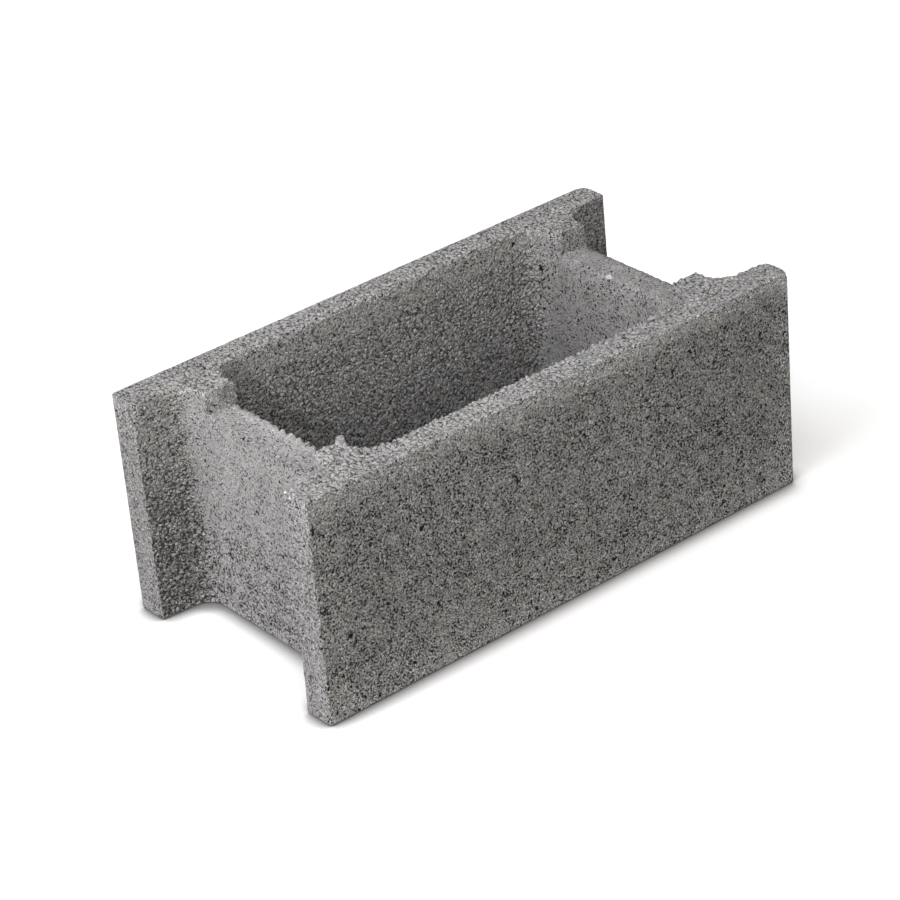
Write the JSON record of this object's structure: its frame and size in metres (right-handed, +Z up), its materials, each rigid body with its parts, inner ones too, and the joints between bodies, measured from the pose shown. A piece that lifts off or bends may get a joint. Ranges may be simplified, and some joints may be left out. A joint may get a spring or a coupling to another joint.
{
  "type": "hollow concrete shuttering block",
  "caption": "Hollow cast concrete shuttering block: face shells joined by cross webs round a large open core, with recessed ends and lowered web tops for reinforcement.",
  "frame": {"origin": "middle of the bed face that the block stands on", "axes": "+X along the block's length, +Y across it from one face shell to the other, +Z up, with the lowered web tops uppermost"},
  "size_m": [0.5, 0.25, 0.2],
  "materials": {
    "concrete": "raw, porous, open grained"
  },
  "bodies": {
    "root": {"shuttering_block": "concrete"}
  },
  "joints": []
}
